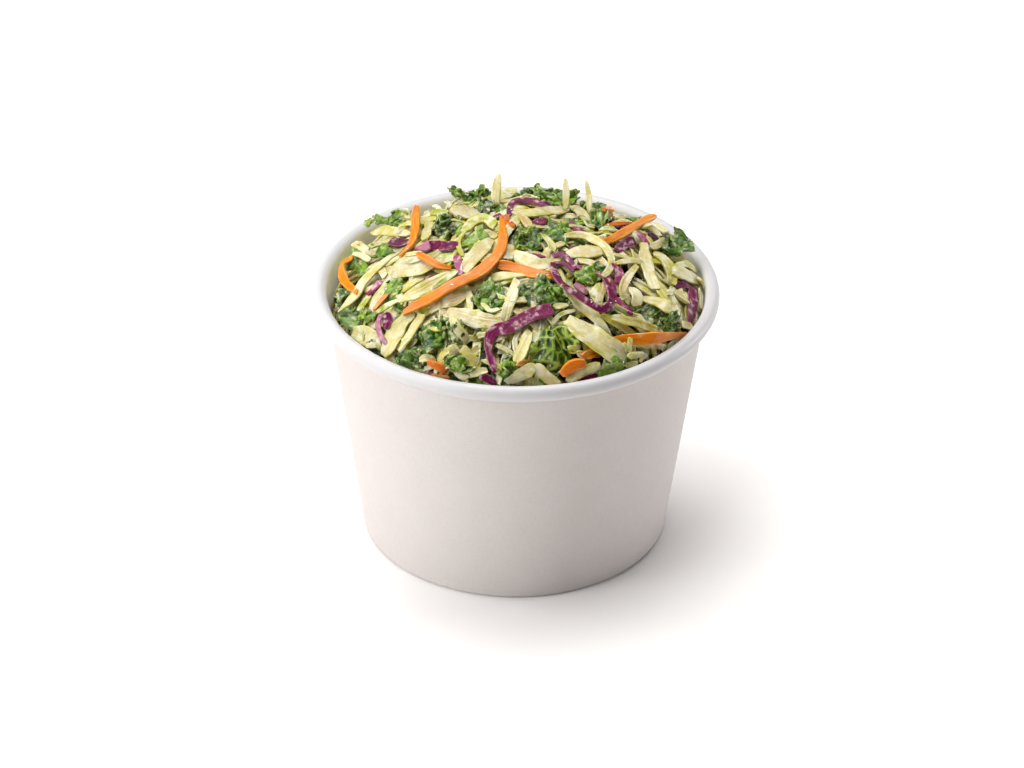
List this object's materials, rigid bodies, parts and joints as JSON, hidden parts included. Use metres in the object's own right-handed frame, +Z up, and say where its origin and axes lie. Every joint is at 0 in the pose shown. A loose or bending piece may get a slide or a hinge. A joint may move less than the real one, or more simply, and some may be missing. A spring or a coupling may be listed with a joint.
{
  "type": "cup of kale slaw",
  "caption": "Squat tapered paper cup with a rolled rim and a folded hem at its foot, heaped above the rim with creamy kale, cabbage and carrot slaw.",
  "frame": {"origin": "middle of the cup's foot, on the surface that it stands on", "axes": "+Z up along the cup's axis, +Y towards the side seam at the back"},
  "size_m": [0.09, 0.09, 0.0773],
  "materials": {
    "cup_paper": "matte",
    "slaw": "satin",
    "white_cabbage": "satin",
    "red_cabbage": "satin",
    "carrot": "satin",
    "kale": "satin"
  },
  "bodies": {
    "root": {"cup_sidewall": "cup_paper", "cup_base": "cup_paper", "slaw": "slaw"}
  },
  "joints": []
}
